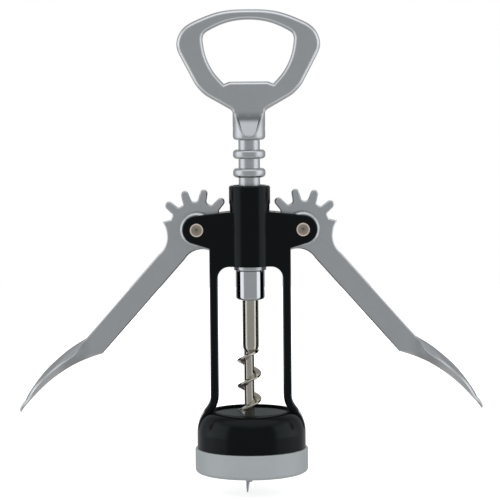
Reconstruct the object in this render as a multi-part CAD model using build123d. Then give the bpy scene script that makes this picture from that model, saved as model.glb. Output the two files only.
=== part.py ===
from build123d import *
import math
import os

# Lever corkscrew, in millimetres.
# Origin: centre of the base ring's underside. +Z up, levers along X, front towards -Y.

# Base ring and bell
RING_RADIUS = 21.0
RING_HEIGHT = 9.1
RING_BOTTOM_ROUND = 1.4
RING_TOP_ROUND = 0.5
SOCKET_RADIUS = 15.2
SOCKET_DEPTH = 5.0
SOCKET_CHAMFER = 0.6
LINER_BORE_RADIUS = 14.3
LINER_RADIUS = 16.15
LINER_TOP = 21.65
BELL_RADIUS = 20.2
BELL_SHOULDER_Z = 14.9
BELL_RIM_Z = 22.9
BELL_CROWN_RADIUS = 14.9
BELL_OPENING_RADIUS = 14.15
BELL_POCKET_RADIUS = 16.2
BELL_POCKET_TOP = 21.7

# Legs, guide tube and forked ears
LEG_INNER_X = 12.0
LEG_OUTER_X = 15.0
LEG_TOP_Z = 75.6
LEG_FLARE_Z = 28.9
LEG_FLARE_RADIUS = 8.75
LEG_ROLL_RADIUS = 12.0
LEG_FOOT_X = 20.0
LEG_BURIED_X = 16.7
LEG_INNER_FOOT = (15.1, 22.2)
LEG_TRIM = 0.05
LEG_EDGE_ROUND = 0.8
WINDOW_TOP_Z = 76.7
WINDOW_CORNER = 4.2
TUBE_RADIUS = 7.65
TUBE_BORE_RADIUS = 6.25
TUBE_TOP_Z = 106.6
TUBE_TOP_ROUND = 0.9
EAR_OUTER_Y = 4.9
EAR_INNER_Y = 2.15
EAR_RADIUS = 5.25
EAR_TOP_AT_TUBE_Z = 97.0
EAR_UNDERSIDE_SLOPE = 17.3
EAR_EDGE_ROUND = 0.6
SWEEP_RADIUS = 15.35
FORK_LENGTH = 60.0

# Pivot pins
PIN_X = 19.6
PIN_Z = 90.4
PIN_RADIUS = 2.3
PIN_HEAD_RADIUS = 2.6
PIN_HEAD_HEIGHT = 0.6
PIN_HEAD_ROUND = 0.45
PIN_PRESS_GAP = 0.02
PIN_RUNNING_GAP = 0.06

# Ringed rack and its mesh with the levers' teeth
RING_PITCH = 6.86
RACK_RING_RADIUS = 6.0
RACK_RING_THICKNESS = 3.5
RACK_RING_ROUND = 1.4
RACK_FOOT_ROUND = 0.4
RACK_CORE_RADIUS = 3.95
RACK_MESH_OFFSET = 0.25
RINGS_BELOW_PIVOT = 2
RINGS_ABOVE_PIVOT = 4
ROD_RADIUS = 2.5
ROD_RUNNING_GAP = 0.05
END_PLAY = 0.1

# Levers
ARM_SLOPE = 48.5
LEVER_HALF_THICKNESS = 1.7
BOSS_HALF_THICKNESS = 2.05
BOSS_RADIUS = 6.1
BOSS_FACE_RADIUS = 5.5
DISH_RADIUS = 7.1
DISH_DEPTH = 0.6
DISH_TILT = 3.0
TOOTH_PITCH_ANGLE = 30.0
TOOTH_LEAD_ANGLE = 3.6
TEETH_BELOW_PIVOT = 2
TEETH_ABOVE_PIVOT = 5
GEAR_TIP_RADIUS = 15.0
GEAR_ROOT_RADIUS = 10.3
GEAR_ROOT_ROUND = 1.2
TOOTH_ROOT_HALF_WIDTH = 1.85
TOOTH_TIP_HALF_WIDTH = 1.43
ARM_TOP = 4.5
ARM_BOTTOM = -3.83
ARM_LENGTH = 57.7
ARM_EDGE_CHAMFER = 0.4
OUTER_FAIRING_RADIUS = 9.3
OUTER_FAIRING_START = 15.2
INNER_FAIRING_RADIUS = 7.5
INNER_FAIRING_START = 9.8
STUB_ROOT = (3.7, 9.6)
STUB_REACH = (7.0, 11.94)
FAIRING_BITE = 0.12
WING_EDGE_HALF_THICKNESS = 0.3

# Wing stations along the arm: distance from the pivot, crown height, keel height,
# edge height, half width, and how far the section has turned from arm to leaf.
WING_STATIONS = [
    (60.0, 5.3, -2.55, 3.6, 2.3, 0.35),
    (62.0, 5.9, -1.40, 3.7, 2.8, 0.68),
    (64.5, 6.55, -0.10, 4.1, 3.5, 1.0),
    (69.0, 7.35, 1.80, 5.2, 4.9, 1.0),
    (74.0, 7.93, 3.25, 6.2, 6.0, 1.0),
    (79.0, 8.00, 4.25, 6.8, 6.5, 1.0),
    (85.0, 7.47, 4.82, 6.6, 5.7, 1.0),
    (90.0, 6.40, 4.95, 5.9, 3.8, 1.0),
    (94.2, 5.45, 4.65, 5.1, 1.3, 1.0),
]
LEAF_OUTER_SHARE = 0.62
LEAF_INNER_SHARE = 0.35

# Opener handle
HANDLE_HALF_THICKNESS = 2.55
HANDLE_RIM_ROUND = 1.6
LOOP_RIM_ROUND = 1.4
NECK_RADIUS = 6.0
NECK_BOTTOM_Z = 123.3
NECK_BOTTOM_ROUND = 1.4
NECK_TOP_Z = 136.9
SCOOP_FLAT_Z = 131.1
SCOOP_RAMP_SLOPE = 25.0
SCOOP_RAMP_ROUND = 3.0
SCOOP_WALL_FLARE = 0.62
SCOOP_END_FLARE = 0.12
SCOOP_EDGE_ROUND = 0.4
SHOULDER_X = 5.9
SHOULDER_ROUND = 2.2
LIP_Z = 144.8
LIP_HALF_WIDTH = 7.0

# Right half of the scoop's floor in the neck, as (x, z) from its lower end.
SCOOP_CURVE = [(0, 125.4), (2.2, 128.2), (4.34, 132.05), (5.7, 137.2)]

# Right half of the opener loop, outer and inner edge, as (x, z) from the top of the loop.
LOOP_OUTER_CURVE = [
    (0, 171.2),
    (10.96, 170.25),
    (19.1, 167.3),
    (24.2, 164.0),
    (26.38, 158.6),
    (24.67, 153.36),
]
LOOP_INNER_CURVE = [
    (0, 167.35),
    (9.5, 165.8),
    (14.3, 163.6),
    (16.3, 162.05),
    (16.74, 160.6),
    (16.58, 158.4),
    (15.88, 154.83),
    (13.27, 148.97),
    (9.1, 143.95),
]
SIDE_BOTTOM = (20.3, 145.0)
SIDE_CORNER = (17.8, 141.55)
SLOPE_TOP = (14.6, 138.96)
SLOPE_FALL = 0.568
LEVEL = (1, 0)
SIDE_LEAN = (-0.525, -1)
NOTCH_LEAN = (-1.5, -1.6)

# Worm, ferrule and hidden cross pins
FERRULE_RADIUS = 5.4
FERRULE_BOTTOM_Z = 64.2
FERRULE_BOTTOM_ROUND = 1.2
FERRULE_TOP_ROUND = 0.3
SHANK_RADIUS = 3.05
SHANK_SHOULDER_RADIUS = 2.6
SHANK_NOSE_RADIUS = 1.2
SHANK_TOP_Z = 71.4
SHANK_END_Z = 47.2
WORM_CORE_RADIUS = 1.9
WORM_CORE_TOP_Z = 43.5
WORM_OFFSET_X = -0.65
ROD_TOP_Z = 132.4
PRESS_GAP = 0.02
FIN_RADIUS = 4.5
FIN_PITCH = 9.5
FIN_PHASE_Z = 36.7
FIN_ROOT_HALF_WIDTH = 1.5
FIN_EDGE_HALF_WIDTH = 0.45
FIN_TOP_Z = 49.9
FIN_END_RADIUS = 1.0
FIN_TAPER_TOP_Z = 42.4
FIN_TAPER_BOTTOM_Z = 9.9
FIN_BOTTOM_Z = -4.0
WORM_TIP_Z = -8.0
WORM_TIP_X = -1.7
WORM_POINT_TOP_Z = 3.0
WORM_POINT_BEND = (-1.4, -2.6)
WORM_POINT_BEND_RADIUS = 1.0
WORM_TIP_RADIUS = 0.25
CROSS_PIN_RADIUS = 1.0
HANDLE_PIN_Z = 127.4
FERRULE_PIN_Z = 68.4
CROSS_PIN_INSET = 0.25

# How far a cutting solid runs past the face it opens, and how close counts as lying on a face
CUT_PAST = 1.0
NEAR = 1e-3

LEVER_TURN = math.radians(TOOTH_PITCH_ANGLE)
PITCH_RADIUS = RING_PITCH / LEVER_TURN
RING_ZERO_Z = PIN_Z + RACK_MESH_OFFSET
RACK_BOTTOM_Z = RING_ZERO_Z - RINGS_BELOW_PIVOT * RING_PITCH - RACK_RING_THICKNESS / 2
RACK_TOP_Z = NECK_BOTTOM_Z - END_PLAY


def upright_cylinder(radius, bottom, top):
    """Cylinder on the Z axis between two heights."""
    return Pos(0, 0, (bottom + top) / 2) * Cylinder(radius, top - bottom)


def across_cylinder(radius, half_length, x, z):
    """Cylinder along Y, centred on the XZ point given."""
    return Pos(x, 0, z) * Rot(90, 0, 0) * Cylinder(radius, 2 * half_length)


def sideways_cylinder(radius, half_length, z):
    """Cylinder along X through the Z axis."""
    return Pos(0, 0, z) * Rot(0, 90, 0) * Cylinder(radius, 2 * half_length)


def front_slab(face, half_thickness):
    """Outline drawn in X and Z, given a thickness centred on Y = 0."""
    return extrude(Plane.XZ * face, amount=half_thickness, both=True)


def face_of(*curves):
    """Face inside a closed chain of curves."""
    return make_face(Curve() + list(curves))


def outline_edges(solid, half_thickness):
    """Edges of a slab that lie on its front and back planes."""
    return [e for e in solid.edges() if abs(abs(e.center().Y) - half_thickness) < NEAR]


def near_any(edge, others):
    """Whether an edge has the same middle as one of some other edges."""
    return any((edge.center() - other.center()).length < NEAR for other in others)


def make_bell():
    """Revolved bell with its rim, hollowed for the lining sleeve."""
    profile = face_of(
        Line((BELL_POCKET_RADIUS, RING_HEIGHT), (BELL_RADIUS, RING_HEIGHT)),
        Line((BELL_RADIUS, RING_HEIGHT), (BELL_RADIUS, BELL_SHOULDER_Z)),
        EllipticalCenterArc(
            (BELL_CROWN_RADIUS, BELL_SHOULDER_Z),
            BELL_RADIUS - BELL_CROWN_RADIUS,
            BELL_RIM_Z - BELL_SHOULDER_Z,
            start_angle=0,
            arc_size=90,
        ),
        Polyline(
            (BELL_CROWN_RADIUS, BELL_RIM_Z),
            (BELL_OPENING_RADIUS, BELL_RIM_Z),
            (BELL_OPENING_RADIUS, BELL_POCKET_TOP),
            (BELL_POCKET_RADIUS, BELL_POCKET_TOP),
            (BELL_POCKET_RADIUS, RING_HEIGHT),
        ),
    )
    return revolve(Plane.XZ * profile, Axis.Z)


def make_leg():
    """Right leg: a flat bar that flares out and rolls over into the side of the bell."""
    outer_turn = math.acos(1 - (LEG_FOOT_X - LEG_OUTER_X) / (LEG_FLARE_RADIUS + LEG_ROLL_RADIUS))
    bend = (
        LEG_OUTER_X + LEG_FLARE_RADIUS * (1 - math.cos(outer_turn)),
        LEG_FLARE_Z - LEG_FLARE_RADIUS * math.sin(outer_turn),
    )
    foot = (LEG_FOOT_X, bend[1] - LEG_ROLL_RADIUS * math.sin(outer_turn))
    face = face_of(
        Line((LEG_INNER_X, LEG_TOP_Z), (LEG_OUTER_X, LEG_TOP_Z)),
        Line((LEG_OUTER_X, LEG_TOP_Z), (LEG_OUTER_X, LEG_FLARE_Z)),
        TangentArc((LEG_OUTER_X, LEG_FLARE_Z), bend, tangent=(0, -1)),
        TangentArc(foot, bend, tangent=(0, 1)),
        Polyline(foot, (LEG_BURIED_X, foot[1]), (LEG_BURIED_X, LEG_INNER_FOOT[1]), LEG_INNER_FOOT),
        TangentArc((LEG_INNER_X, LEG_FLARE_Z), LEG_INNER_FOOT, tangent=(0, -1)),
        Line((LEG_INNER_X, LEG_FLARE_Z), (LEG_INNER_X, LEG_TOP_Z)),
    )
    leg = front_slab(face, EAR_OUTER_Y)
    long_edges = [
        e
        for e in outline_edges(leg, EAR_OUTER_Y)
        if e.bounding_box().size.Z > LEG_EDGE_ROUND and abs(e.center().X - LEG_BURIED_X) > LEG_TRIM
    ]
    leg = fillet(long_edges, LEG_EDGE_ROUND)
    return leg & upright_cylinder(BELL_RADIUS - LEG_TRIM, 0, TUBE_TOP_Z)


def ear_outline():
    """Half of the forked plate: middle, ear and the corner above the leg."""
    slope = math.radians(EAR_UNDERSIDE_SLOPE)
    under = (PIN_X + EAR_RADIUS * math.sin(slope), PIN_Z - EAR_RADIUS * math.cos(slope))
    corner = (LEG_OUTER_X, under[1] - (under[0] - LEG_OUTER_X) * math.tan(slope))
    reach_x = PIN_X - TUBE_RADIUS
    rise = EAR_TOP_AT_TUBE_Z - PIN_Z
    to_tangent = math.atan2(rise, -reach_x) - math.acos(EAR_RADIUS / math.hypot(rise, reach_x))
    upper = (PIN_X + EAR_RADIUS * math.cos(to_tangent), PIN_Z + EAR_RADIUS * math.sin(to_tangent))
    fillet_x = LEG_INNER_X - WINDOW_CORNER
    fillet_mid = WINDOW_CORNER * (1 - math.sqrt(0.5))
    return face_of(
        Line((0, WINDOW_TOP_Z), (fillet_x, WINDOW_TOP_Z)),
        ThreePointArc(
            (fillet_x, WINDOW_TOP_Z),
            (LEG_INNER_X - fillet_mid, WINDOW_TOP_Z - fillet_mid),
            (LEG_INNER_X, WINDOW_TOP_Z - WINDOW_CORNER),
        ),
        Line((LEG_INNER_X, WINDOW_TOP_Z - WINDOW_CORNER), (LEG_OUTER_X, WINDOW_TOP_Z - WINDOW_CORNER)),
        Line((LEG_OUTER_X, WINDOW_TOP_Z - WINDOW_CORNER), corner),
        Line(corner, under),
        ThreePointArc(under, (PIN_X + EAR_RADIUS, PIN_Z), upper),
        Line(upper, (TUBE_RADIUS, EAR_TOP_AT_TUBE_Z)),
        Line((TUBE_RADIUS, EAR_TOP_AT_TUBE_Z), (0, EAR_TOP_AT_TUBE_Z)),
        Line((0, EAR_TOP_AT_TUBE_Z), (0, WINDOW_TOP_Z)),
    )


def make_tube():
    """Guide tube with a rounded mouth."""
    tube = upright_cylinder(TUBE_RADIUS, WINDOW_TOP_Z, TUBE_TOP_Z)
    top = tube.edges().filter_by(GeomType.CIRCLE).sort_by(Axis.Z)[-1]
    return fillet(top, TUBE_TOP_ROUND)


def make_frame_casting():
    """Die-cast frame: tube, forked ears, legs and bell in one piece."""
    half = ear_outline()
    plate_face = half + mirror(half, about=Plane.YZ)
    plates = front_slab(plate_face, EAR_OUTER_Y)
    plates = fillet(outline_edges(plates, EAR_OUTER_Y), EAR_EDGE_ROUND)
    plates -= Pos(0, 0, PIN_Z) * Box(FORK_LENGTH, 2 * EAR_INNER_Y, FORK_LENGTH)
    leg = make_leg()
    frame = plates + make_tube() + leg + mirror(leg, about=Plane.YZ) + make_bell()
    frame -= upright_cylinder(TUBE_BORE_RADIUS, WINDOW_TOP_Z - CUT_PAST, TUBE_TOP_Z + CUT_PAST)
    for x in (-PIN_X, PIN_X):
        frame -= across_cylinder(SWEEP_RADIUS, EAR_INNER_Y, x, PIN_Z)
        frame -= across_cylinder(PIN_RADIUS + PIN_PRESS_GAP, EAR_OUTER_Y + CUT_PAST, x, PIN_Z)
    return frame


def make_base_ring():
    """Moulded ring under the bell, with its lining sleeve and the bottle's socket."""
    profile = face_of(
        Polyline(
            (SOCKET_RADIUS + SOCKET_CHAMFER, 0),
            (RING_RADIUS, 0),
            (RING_RADIUS, RING_HEIGHT),
            (LINER_RADIUS, RING_HEIGHT),
            (LINER_RADIUS, LINER_TOP),
            (LINER_BORE_RADIUS, LINER_TOP),
            (LINER_BORE_RADIUS, SOCKET_DEPTH),
            (SOCKET_RADIUS, SOCKET_DEPTH),
            (SOCKET_RADIUS, SOCKET_CHAMFER),
            (SOCKET_RADIUS + SOCKET_CHAMFER, 0),
        )
    )
    for height, rounding in ((0, RING_BOTTOM_ROUND), (RING_HEIGHT, RING_TOP_ROUND)):
        corner = profile.vertices().sort_by_distance((RING_RADIUS, height))[0]
        profile = fillet(corner, rounding)
    return revolve(Plane.XZ * profile, Axis.Z)


def make_pivot_pin(x):
    """Rivet with a low head at each end."""
    pin = across_cylinder(PIN_RADIUS, EAR_OUTER_Y, x, PIN_Z)
    for side in (-1, 1):
        head = Pos(x, side * (EAR_OUTER_Y + PIN_HEAD_HEIGHT / 2), PIN_Z) * Rot(90, 0, 0)
        head = head * Cylinder(PIN_HEAD_RADIUS, PIN_HEAD_HEIGHT)
        far = head.edges().sort_by(Axis.Y)[-1 if side > 0 else 0]
        pin += fillet(far, PIN_HEAD_ROUND)
    return pin


def make_rack_sleeve():
    """Round rack: a sleeve with evenly spaced rings, free to turn with the rod inside it."""
    sleeve = upright_cylinder(RACK_CORE_RADIUS, RACK_BOTTOM_Z, RACK_TOP_Z)
    for step in range(-RINGS_BELOW_PIVOT, RINGS_ABOVE_PIVOT + 1):
        ring = Pos(0, 0, RING_ZERO_Z + step * RING_PITCH) * Cylinder(RACK_RING_RADIUS, RACK_RING_THICKNESS)
        over = ring.edges().filter_by(GeomType.CIRCLE).sort_by(Axis.Z)[-1]
        ring = fillet(over, RACK_RING_ROUND)
        under = ring.edges().filter_by(GeomType.CIRCLE).sort_by(Axis.Z)[0]
        sleeve += fillet(under, RACK_FOOT_ROUND if step == -RINGS_BELOW_PIVOT else RACK_RING_ROUND)
    bore = ROD_RADIUS + ROD_RUNNING_GAP
    return sleeve - upright_cylinder(bore, RACK_BOTTOM_Z - CUT_PAST, RACK_TOP_Z + CUT_PAST)


def tooth_face(angle):
    """One finger-like tooth, pointing away from the pivot."""
    tip = GEAR_TIP_RADIUS - TOOTH_TIP_HALF_WIDTH
    root = BOSS_RADIUS
    finger = face_of(
        Line((root, -TOOTH_ROOT_HALF_WIDTH), (tip, -TOOTH_TIP_HALF_WIDTH)),
        ThreePointArc((tip, -TOOTH_TIP_HALF_WIDTH), (GEAR_TIP_RADIUS, 0), (tip, TOOTH_TIP_HALF_WIDTH)),
        Line((tip, TOOTH_TIP_HALF_WIDTH), (root, TOOTH_ROOT_HALF_WIDTH)),
        Line((root, TOOTH_ROOT_HALF_WIDTH), (root, -TOOTH_ROOT_HALF_WIDTH)),
    )
    return Rot(0, 0, angle) * finger


def lever_outline():
    """Toothed sector and arm, with the arm along +X and its outer side towards +Y."""
    towards_rack = 180 + ARM_SLOPE
    face = Circle(GEAR_ROOT_RADIUS)
    for step in range(-TEETH_BELOW_PIVOT, TEETH_ABOVE_PIVOT):
        rise = TOOTH_PITCH_ANGLE * (step + 0.5) + TOOTH_LEAD_ANGLE
        face += tooth_face(towards_rack - rise)
    face = fillet(
        [v for v in face.vertices() if abs(math.hypot(v.X, v.Y) - GEAR_ROOT_RADIUS) < NEAR],
        GEAR_ROOT_ROUND,
    )
    face += face_of(
        Polyline(
            (0, ARM_BOTTOM),
            (ARM_LENGTH, ARM_BOTTOM),
            (ARM_LENGTH, ARM_TOP),
            (OUTER_FAIRING_START, ARM_TOP),
            STUB_REACH,
            STUB_ROOT,
            (0, 0),
            (0, ARM_BOTTOM),
        )
    )
    outer_centre = Pos(OUTER_FAIRING_START, ARM_TOP + OUTER_FAIRING_RADIUS - FAIRING_BITE)
    inner_centre = Pos(INNER_FAIRING_START, ARM_BOTTOM - INNER_FAIRING_RADIUS + FAIRING_BITE)
    face -= outer_centre * Circle(OUTER_FAIRING_RADIUS)
    face -= inner_centre * Circle(INNER_FAIRING_RADIUS)
    return face


def wing_section(distance, crown, keel, edge, half_width, turned):
    """Closed section of the wing: arm rectangle, leaf, or a step between the two."""
    chamfer_in = LEVER_HALF_THICKNESS - ARM_EDGE_CHAMFER
    arm = [
        (chamfer_in, crown),
        (LEVER_HALF_THICKNESS, crown - ARM_EDGE_CHAMFER),
        (LEVER_HALF_THICKNESS, keel + ARM_EDGE_CHAMFER),
        (chamfer_in, keel),
    ]
    drop = edge - keel
    leaf = [
        (half_width - WING_EDGE_HALF_THICKNESS, edge + WING_EDGE_HALF_THICKNESS),
        (half_width, edge - WING_EDGE_HALF_THICKNESS),
        (half_width * LEAF_OUTER_SHARE, keel + drop * LEAF_OUTER_SHARE**2),
        (half_width * LEAF_INNER_SHARE, keel + drop * LEAF_INNER_SHARE**2),
    ]
    half = [tuple(a + (b - a) * turned for a, b in zip(p, q)) for p, q in zip(arm, leaf)]
    plane = Plane(origin=(distance, 0, 0), x_dir=(0, 1, 0), z_dir=(1, 0, 0))
    back = half
    front = [(-y, v) for y, v in half]
    if turned > 0:
        top = ThreePointArc(front[0], (0, crown), back[0])
        bottom = ThreePointArc(back[3], (0, keel), front[3])
    else:
        top = Line(front[0], back[0])
        bottom = Line(back[3], front[3])
    curves = [top]
    curves += [Line(a, b) for a, b in zip(back, back[1:])]
    curves += [bottom]
    curves += [Line(a, b) for a, b in zip(front[::-1], front[::-1][1:])]
    return plane * face_of(*curves)


def make_boss():
    """Round boss with a bevelled edge on both faces of the lever."""
    profile = face_of(
        Polyline(
            (0, -BOSS_HALF_THICKNESS),
            (BOSS_FACE_RADIUS, -BOSS_HALF_THICKNESS),
            (BOSS_RADIUS, -LEVER_HALF_THICKNESS),
            (BOSS_RADIUS, LEVER_HALF_THICKNESS),
            (BOSS_FACE_RADIUS, BOSS_HALF_THICKNESS),
            (0, BOSS_HALF_THICKNESS),
            (0, -BOSS_HALF_THICKNESS),
        )
    )
    return revolve(profile, Axis.Y)


def make_dish(side):
    """Shallow round dish in one face of the lever, deepest on the side away from the arm."""
    profile = face_of(
        Polyline(
            (0, 0),
            (DISH_RADIUS - DISH_DEPTH, 0),
            (DISH_RADIUS, DISH_DEPTH),
            (0, DISH_DEPTH),
            (0, 0),
        )
    )
    dish = Rot(0, 0, DISH_TILT) * revolve(profile, Axis.Y)
    dish = Pos(0, LEVER_HALF_THICKNESS, 0) * dish
    return dish if side > 0 else mirror(dish, about=Plane.XZ)


def make_right_lever():
    """Lever in the frame: toothed sector, boss, arm and leaf-shaped wing."""
    lever = front_slab(lever_outline(), LEVER_HALF_THICKNESS)
    edges = [
        e
        for e in outline_edges(lever, LEVER_HALF_THICKNESS)
        if abs(e.center().X - ARM_LENGTH) > NEAR
    ]
    lever = chamfer(edges, ARM_EDGE_CHAMFER)
    arm_end = wing_section(ARM_LENGTH, ARM_TOP, ARM_BOTTOM, ARM_TOP, LEVER_HALF_THICKNESS, turned=0)
    sections = [arm_end]
    sections += [wing_section(*station) for station in WING_STATIONS]
    lever += loft(sections)
    for side in (-1, 1):
        lever -= make_dish(side)
    lever += make_boss()
    lever -= across_cylinder(PIN_RADIUS + PIN_RUNNING_GAP, BOSS_HALF_THICKNESS + CUT_PAST, 0, 0)
    return Pos(PIN_X, 0, PIN_Z) * Rot(0, ARM_SLOPE, 0) * lever


def handle_outline():
    """Front outline of the handle's plate, without its loop."""
    shoulder_z = SLOPE_TOP[1] - (SLOPE_TOP[0] - SHOULDER_X) * SLOPE_FALL
    outer_half = face_of(
        Spline(*LOOP_OUTER_CURVE, tangents=(LEVEL, SIDE_LEAN)),
        Line(LOOP_OUTER_CURVE[-1], SIDE_BOTTOM),
        Spline(SIDE_BOTTOM, SIDE_CORNER, SLOPE_TOP, tangents=(SIDE_LEAN, (-1, -SLOPE_FALL))),
        Polyline(
            SLOPE_TOP,
            (SHOULDER_X, shoulder_z),
            (SHOULDER_X, SCOOP_FLAT_Z),
            (0, SCOOP_FLAT_Z),
            LOOP_OUTER_CURVE[0],
        ),
    )
    shoulder = outer_half.vertices().sort_by_distance((SHOULDER_X, shoulder_z))[0]
    outer_half = fillet(shoulder, SHOULDER_ROUND)
    return outer_half + mirror(outer_half, about=Plane.YZ)


def loop_outline():
    """Front outline of the opener loop, with the lip at its bottom."""
    inner_half = face_of(
        Spline(*LOOP_INNER_CURVE, tangents=(LEVEL, NOTCH_LEAN)),
        Polyline(LOOP_INNER_CURVE[-1], (LIP_HALF_WIDTH, LIP_Z), (0, LIP_Z), LOOP_INNER_CURVE[0]),
    )
    return inner_half + mirror(inner_half, about=Plane.YZ)


def scoop_face(depth):
    """Outline of the neck's scoop at a depth out from the plate's face, wider as it nears the surface."""
    sides = [(x + depth * SCOOP_WALL_FLARE, z) for x, z in SCOOP_CURVE[1:]]
    end = (0, SCOOP_CURVE[0][1] - depth * SCOOP_END_FLARE)
    half = face_of(
        Spline(end, *sides, tangents=(LEVEL, (0, 1))),
        Polyline(sides[-1], (0, sides[-1][1]), end),
    )
    return Plane.XZ.offset(HANDLE_HALF_THICKNESS + depth) * (half + mirror(half, about=Plane.YZ))


def make_scoop():
    """Tongue-shaped hollow in the front of the neck, running out on a ramp."""
    flat = -HANDLE_HALF_THICKNESS
    far = -2 * NECK_RADIUS
    top = SCOOP_CURVE[-1][1]
    low = NECK_BOTTOM_Z
    ramp_y = flat - (SCOOP_FLAT_Z - low) * math.tan(math.radians(SCOOP_RAMP_SLOPE))
    profile = face_of(
        Polyline((flat, top), (flat, SCOOP_FLAT_Z), (ramp_y, low), (far, low), (far, top), (flat, top))
    )
    bend = profile.vertices().sort_by_distance((flat, SCOOP_FLAT_Z))[0]
    profile = fillet(bend, SCOOP_RAMP_ROUND)
    above_ramp = extrude(Plane.YZ * profile, amount=NECK_RADIUS + CUT_PAST, both=True)
    walls = loft([scoop_face(0), scoop_face(NECK_RADIUS)], ruled=True)
    return walls & above_ramp


def on_scoop_rim(edge):
    """Whether an edge is where a scoop breaks through the round of the neck."""
    middle = edge @ 0.5
    on_round = abs(math.hypot(middle.X, middle.Y) - NECK_RADIUS) < NEAR
    return on_round and abs(middle.Y) > HANDLE_HALF_THICKNESS - NEAR


def make_neck():
    """Round neck with a scoop on the front and the back."""
    neck = upright_cylinder(NECK_RADIUS, NECK_BOTTOM_Z, NECK_TOP_Z)
    neck = fillet(neck.edges().filter_by(GeomType.CIRCLE).sort_by(Axis.Z)[0], NECK_BOTTOM_ROUND)
    scoop = make_scoop()
    neck -= scoop
    neck -= mirror(scoop, about=Plane.XZ)
    return fillet([e for e in neck.edges() if on_scoop_rim(e)], SCOOP_EDGE_ROUND)


def make_opener_handle():
    """Handle plate and neck, bored for the rod and its cross pin."""
    plate = front_slab(handle_outline(), HANDLE_HALF_THICKNESS)
    plate = fillet(outline_edges(plate, HANDLE_HALF_THICKNESS), HANDLE_RIM_ROUND)
    rim = outline_edges(plate, HANDLE_HALF_THICKNESS)
    plate -= front_slab(loop_outline(), HANDLE_HALF_THICKNESS + CUT_PAST)
    loop_edges = outline_edges(plate, HANDLE_HALF_THICKNESS)
    plate = fillet([e for e in loop_edges if not near_any(e, rim)], LOOP_RIM_ROUND)
    handle = plate + make_neck()
    handle -= upright_cylinder(ROD_RADIUS + PRESS_GAP, NECK_BOTTOM_Z - CUT_PAST, ROD_TOP_Z + PRESS_GAP)
    return handle - sideways_cylinder(CROSS_PIN_RADIUS + PRESS_GAP, 2 * NECK_RADIUS, HANDLE_PIN_Z)


def make_ferrule():
    """Bright ferrule on the worm's shank, closing the rack from below."""
    top = RACK_BOTTOM_Z - END_PLAY
    ferrule = upright_cylinder(FERRULE_RADIUS, FERRULE_BOTTOM_Z, top)
    rims = ferrule.edges().filter_by(GeomType.CIRCLE).sort_by(Axis.Z)
    ferrule = fillet(rims[0], FERRULE_BOTTOM_ROUND)
    rims = ferrule.edges().filter_by(GeomType.CIRCLE).sort_by(Axis.Z)
    ferrule = fillet(rims[-1], FERRULE_TOP_ROUND)
    shank_top = SHANK_TOP_Z + PRESS_GAP
    ferrule -= upright_cylinder(SHANK_RADIUS + PRESS_GAP, FERRULE_BOTTOM_Z - CUT_PAST, shank_top)
    ferrule -= upright_cylinder(ROD_RADIUS + PRESS_GAP, SHANK_TOP_Z, top + CUT_PAST)
    return ferrule - sideways_cylinder(CROSS_PIN_RADIUS + PRESS_GAP, 2 * FERRULE_RADIUS, FERRULE_PIN_Z)


def make_fin():
    """Right-handed fin of the worm, fading in under the shank and out at the point."""
    turns_below = math.ceil((FIN_PHASE_Z - FIN_BOTTOM_Z) / FIN_PITCH)
    start_z = FIN_PHASE_Z - turns_below * FIN_PITCH
    path = Pos(0, 0, start_z) * Helix(FIN_PITCH, FIN_TOP_Z - start_z, FIN_RADIUS)
    inner = WORM_CORE_RADIUS / 2
    edge = FIN_RADIUS - FIN_EDGE_HALF_WIDTH
    profile = face_of(
        Line((inner, -FIN_ROOT_HALF_WIDTH), (edge, -FIN_EDGE_HALF_WIDTH)),
        ThreePointArc((edge, -FIN_EDGE_HALF_WIDTH), (FIN_RADIUS, 0), (edge, FIN_EDGE_HALF_WIDTH)),
        Line((edge, FIN_EDGE_HALF_WIDTH), (inner, FIN_ROOT_HALF_WIDTH)),
        Line((inner, FIN_ROOT_HALF_WIDTH), (inner, -FIN_ROOT_HALF_WIDTH)),
    )
    start = Plane(origin=(0, 0, start_z), x_dir=(1, 0, 0), z_dir=(0, -1, 0))
    fin = sweep(start * profile, path=path, is_frenet=True)
    envelope = face_of(
        Polyline(
            (0, FIN_BOTTOM_Z),
            (FIN_END_RADIUS, FIN_BOTTOM_Z),
            (FIN_RADIUS + CUT_PAST, FIN_TAPER_BOTTOM_Z),
            (FIN_RADIUS + CUT_PAST, FIN_TAPER_TOP_Z),
            (FIN_END_RADIUS, FIN_TOP_Z),
            (0, FIN_TOP_Z),
            (0, FIN_BOTTOM_Z),
        )
    )
    return fin & revolve(Plane.XZ * envelope, Axis.Z)


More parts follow.
